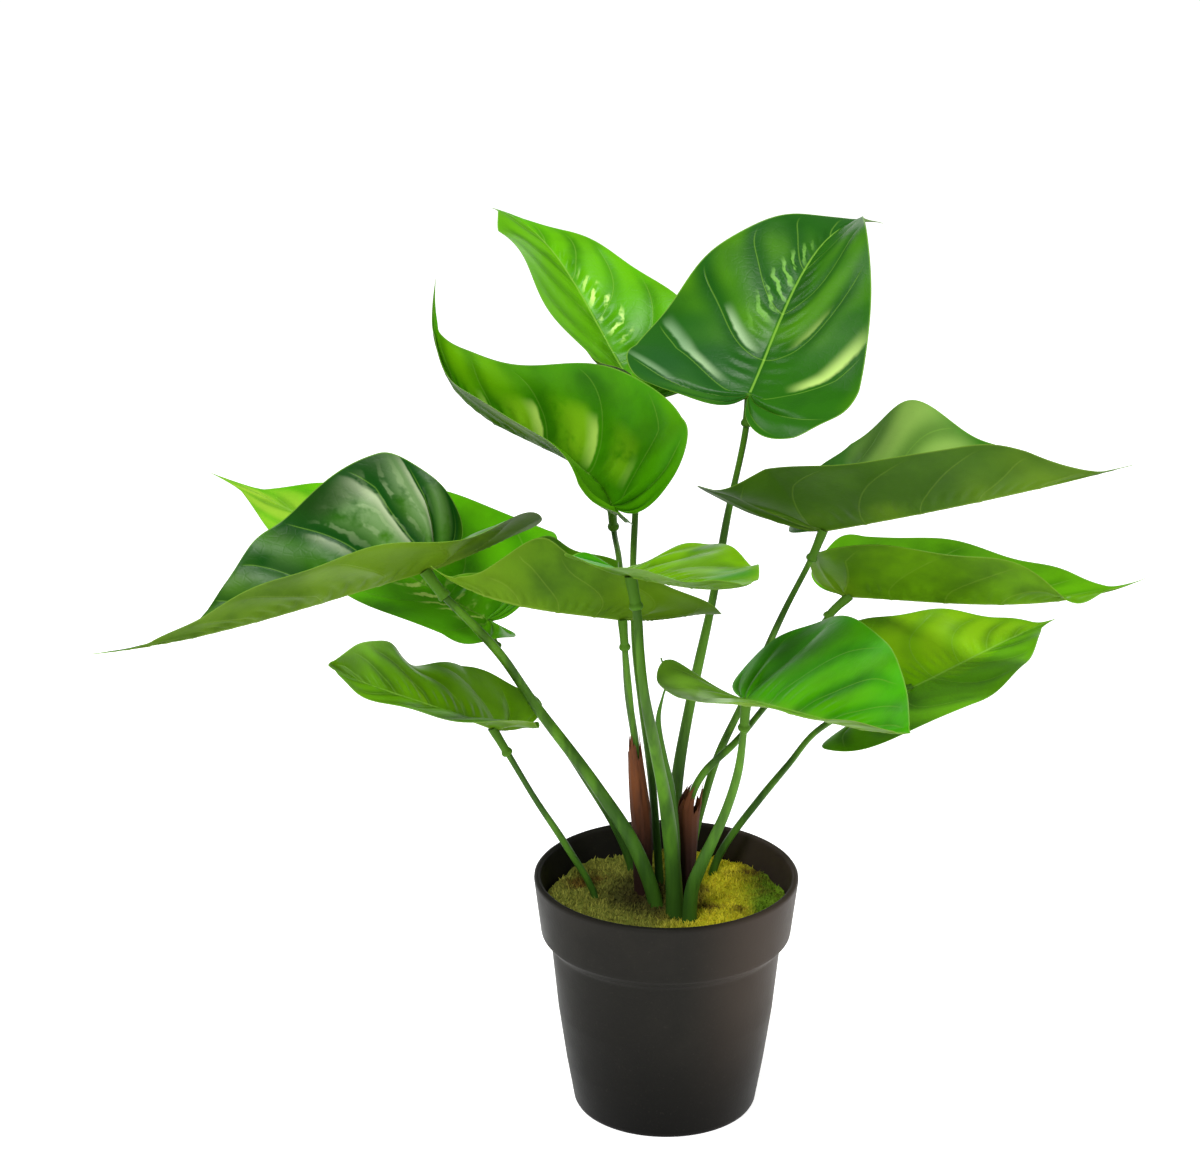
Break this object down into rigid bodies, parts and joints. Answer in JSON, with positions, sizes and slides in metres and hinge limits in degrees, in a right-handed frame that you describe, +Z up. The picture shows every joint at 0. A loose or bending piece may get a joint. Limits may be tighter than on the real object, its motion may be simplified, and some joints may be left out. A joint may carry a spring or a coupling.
{
  "type": "potted foliage plant",
  "caption": "Leafy aroid with heart-shaped drip-tip leaves on slender upright stems, growing from moss in a small round tapered pot.",
  "frame": {"origin": "centre of the pot's flat underside", "axes": "+Z up along the pot's axis, +X to the viewer's right and -Y towards the viewer when the plant is seen as pictured"},
  "size_m": [0.4533, 0.3032, 0.3918],
  "materials": {
    "pot": "satin charcoal, moulded",
    "soil": "matt dark brown",
    "moss": "dry fibrous moss, olive to ochre",
    "bright_leaf": "soft satin green with paler veins",
    "deep_leaf": "soft satin dark green with paler veins",
    "olive_leaf": "soft satin olive green with paler veins",
    "stem": "satin green",
    "sheath": "dry brown sheath"
  },
  "bodies": {
    "root": {"pot": "pot", "soil": "soil", "moss": "moss", "leaf_top_right": "bright_leaf", "stem_top_right": "stem", "leaf_top_left": "bright_leaf", "stem_top_left": "stem", "leaf_upper_left": "bright_leaf", "stem_upper_left": "stem", "leaf_large_left": "deep_leaf", "stem_large_left": "stem", "leaf_back_left": "bright_leaf", "stem_back_left": "stem", "leaf_centre": "olive_leaf", "stem_centre": "stem", "leaf_centre_front": "bright_leaf", "stem_centre_front": "stem", "leaf_lower_left": "olive_leaf", "stem_lower_left": "stem", "leaf_upper_right": "olive_leaf", "stem_upper_right": "stem", "leaf_middle_right": "olive_leaf", "stem_middle_right": "stem", "leaf_front_right": "bright_leaf", "stem_front_right": "stem", "leaf_back_right": "bright_leaf", "stem_back_right": "stem", "brown_sheath_left": "sheath", "brown_sheath_right": "sheath", "leaf_spear": "deep_leaf"}
  },
  "joints": []
}
